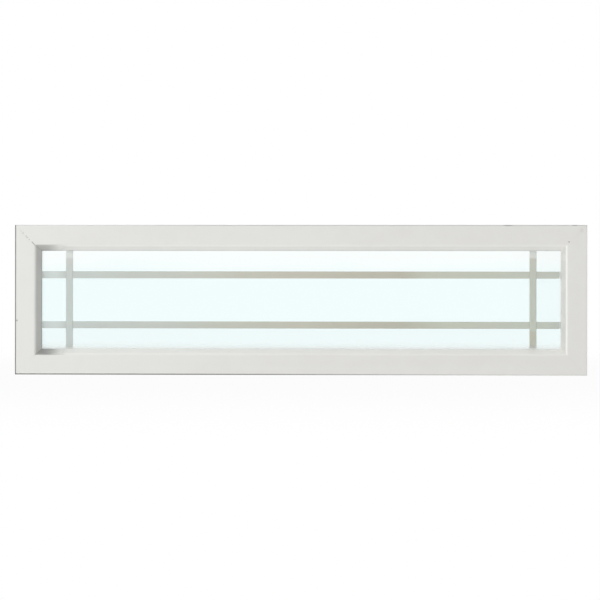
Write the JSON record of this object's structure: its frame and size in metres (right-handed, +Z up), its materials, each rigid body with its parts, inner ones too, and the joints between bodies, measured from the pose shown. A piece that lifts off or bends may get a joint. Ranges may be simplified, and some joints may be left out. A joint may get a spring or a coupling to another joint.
{
  "type": "fixed picture window",
  "caption": "Wide, low fixed window: mitred white PVC frame with a sloped reveal round sealed double glazing, with a flat satin metal grille between the panes.",
  "frame": {"origin": "under the middle of the sill, at half the frame's depth, on the plane of the frame's underside", "axes": "+X along the window to the right as seen from outdoors, +Y into the room, +Z up"},
  "size_m": [1.308, 0.0826, 0.3429],
  "materials": {
    "white_pvc": "satin white extruded PVC",
    "clear_glass": "clear float glass",
    "satin_nickel_finish": "satin nickel colour on roll-formed tube",
    "clip_plastic": "translucent white moulded plastic",
    "spacer_aluminium": "bright mill-finish aluminium",
    "key_plastic": "grey moulded nylon",
    "edge_sealant": "matt dark grey sealant",
    "foam_tape": "closed-cell foam tape",
    "soft_gasket": "soft grey co-extruded strip",
    "block_rubber": "black moulded rubber"
  },
  "bodies": {
    "root": {"bead_gasket_bottom": "soft_gasket", "bead_gasket_left": "soft_gasket", "bead_gasket_right": "soft_gasket", "bead_gasket_top": "soft_gasket", "corner_key_bottom_left": "key_plastic", "corner_key_bottom_right": "key_plastic", "corner_key_top_left": "key_plastic", "corner_key_top_right": "key_plastic", "edge_seal_bottom": "edge_sealant", "edge_seal_left": "edge_sealant", "edge_seal_right": "edge_sealant", "edge_seal_top": "edge_sealant", "exterior_pane": "clear_glass", "frame_head": "white_pvc", "frame_jamb_left": "white_pvc", "frame_jamb_right": "white_pvc", "frame_sill": "white_pvc", "glazing_bead_bottom": "white_pvc", "glazing_bead_left": "white_pvc", "glazing_bead_right": "white_pvc", "glazing_bead_top": "white_pvc", "glazing_tape_bottom": "foam_tape", "glazing_tape_left": "foam_tape", "glazing_tape_right": "foam_tape", "glazing_tape_top": "foam_tape", "grille_bar_left": "satin_nickel_finish", "grille_bar_lower": "satin_nickel_finish", "grille_bar_right": "satin_nickel_finish", "grille_bar_upper": "satin_nickel_finish", "grille_clip_left_bottom": "clip_plastic", "grille_clip_left_top": "clip_plastic", "grille_clip_lower_left": "clip_plastic", "grille_clip_lower_right": "clip_plastic", "grille_clip_right_bottom": "clip_plastic", "grille_clip_right_top": "clip_plastic", "grille_clip_upper_left": "clip_plastic", "grille_clip_upper_right": "clip_plastic", "interior_pane": "clear_glass", "setting_block_left": "block_rubber", "setting_block_right": "block_rubber", "spacer_bar_bottom": "spacer_aluminium", "spacer_bar_left": "spacer_aluminium", "spacer_bar_right": "spacer_aluminium", "spacer_bar_top": "spacer_aluminium"}
  },
  "joints": []
}
